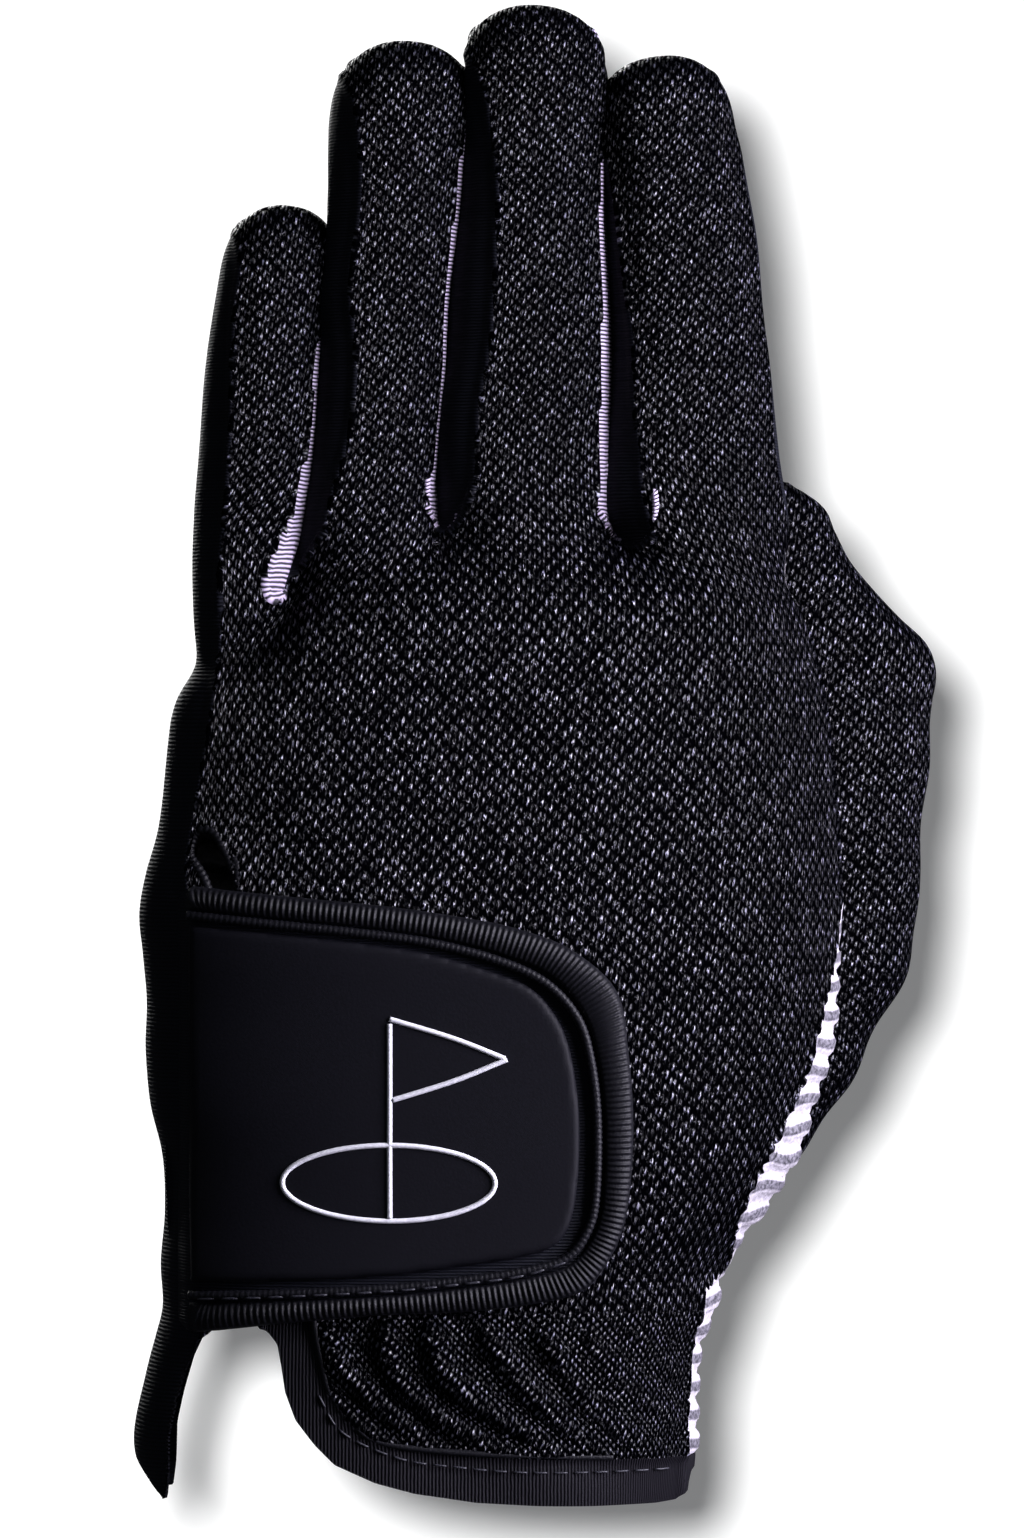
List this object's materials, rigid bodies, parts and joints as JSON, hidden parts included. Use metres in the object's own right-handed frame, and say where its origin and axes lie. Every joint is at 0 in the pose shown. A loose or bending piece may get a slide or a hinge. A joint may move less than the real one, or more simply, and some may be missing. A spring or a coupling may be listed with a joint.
{
  "type": "golf glove",
  "caption": "Stretch golf glove for the left hand with a knit back, a ribbed grip palm and a hook-and-loop wrist tab; hollow fingers and thumb bend at their roots.",
  "frame": {"origin": "middle of the wrist opening, level with the lowest edge of the cuff", "axes": "+X towards the thumb side, +Y from the back of the hand to the palm, +Z from the wrist to the fingertips"},
  "size_m": [0.128, 0.0473, 0.2399],
  "materials": {
    "knit_back": "black birdseye mesh knit with a faint filament sparkle",
    "side_lycra": "smooth black stretch knit",
    "fourchette_lycra": "fine ribbed stretch knit, grey with a violet cast",
    "grip_palm": "mottled grey knit with white silicone ribs",
    "elastic_binding": "ribbed woven elastic",
    "tab_rubber": "smooth moulded satin",
    "raised_print": "raised off-white print",
    "hook_tape": "moulded nylon hooks",
    "loop_pile": "brushed loop pile",
    "sewing_thread": "twisted polyester thread"
  },
  "bodies": {
    "hand": {"back_panel": "knit_back", "palm_panel": "grip_palm", "side_panel": "side_lycra", "cuff_gather": "knit_back", "cuff_binding": "elastic_binding", "slit_binding": "elastic_binding", "loop_pad": "loop_pile", "bar_tack": "sewing_thread", "wrist_elastic": "elastic_binding"},
    "tab": {"tab_hook_pad": "hook_tape", "tab_strap": "knit_back", "tab_binding": "elastic_binding", "tab_welt": "elastic_binding", "tab_patch": "tab_rubber", "tab_emblem": "raised_print"},
    "thumb": {"thumb_back": "knit_back", "thumb_palm": "grip_palm"},
    "index": {"index_back": "knit_back", "index_palm": "grip_palm", "index_strip_thumb_side": "side_lycra", "index_strip_little_side": "side_lycra"},
    "middle": {"middle_back": "knit_back", "middle_palm": "grip_palm", "middle_strip_thumb_side": "fourchette_lycra", "middle_strip_little_side": "side_lycra"},
    "ring": {"ring_back": "knit_back", "ring_palm": "grip_palm", "ring_strip_thumb_side": "fourchette_lycra", "ring_strip_little_side": "side_lycra"},
    "pinky": {"pinky_back": "knit_back", "pinky_palm": "grip_palm", "pinky_strip_thumb_side": "fourchette_lycra", "pinky_strip_little_side": "side_lycra"}
  },
  "joints": [
    {"name": "index_bend", "type": "hinge", "parent": "hand", "child": "index", "pos_m": [0.0463, 0.0094, 0.156], "axis": [-0.993, 0, -0.1184], "range_deg": [0, 50]},
    {"name": "middle_bend", "type": "hinge", "parent": "hand", "child": "middle", "pos_m": [0.0158, 0.0094, 0.157], "axis": [-0.9999, 0, 0.014], "range_deg": [0, 70]},
    {"name": "ring_bend", "type": "hinge", "parent": "hand", "child": "ring", "pos_m": [-0.0094, 0.0092, 0.153], "axis": [-0.9969, 0, 0.0785], "range_deg": [0, 70]},
    {"name": "pinky_bend", "type": "hinge", "parent": "hand", "child": "pinky", "pos_m": [-0.0288, 0.0088, 0.146], "axis": [-0.9969, 0, 0.0785], "range_deg": [0, 70]},
    {"name": "thumb_spread", "type": "hinge", "parent": "hand", "child": "thumb", "pos_m": [0.0575, 0.0075, 0.055], "axis": [0, 1, 0], "range_deg": [0, 30]},
    {"name": "tab_open", "type": "hinge", "parent": "hand", "child": "tab", "pos_m": [-0.0415, -0.0115, 0.0633], "axis": [0, 0, -1], "range_deg": [0, 150]}
  ]
}
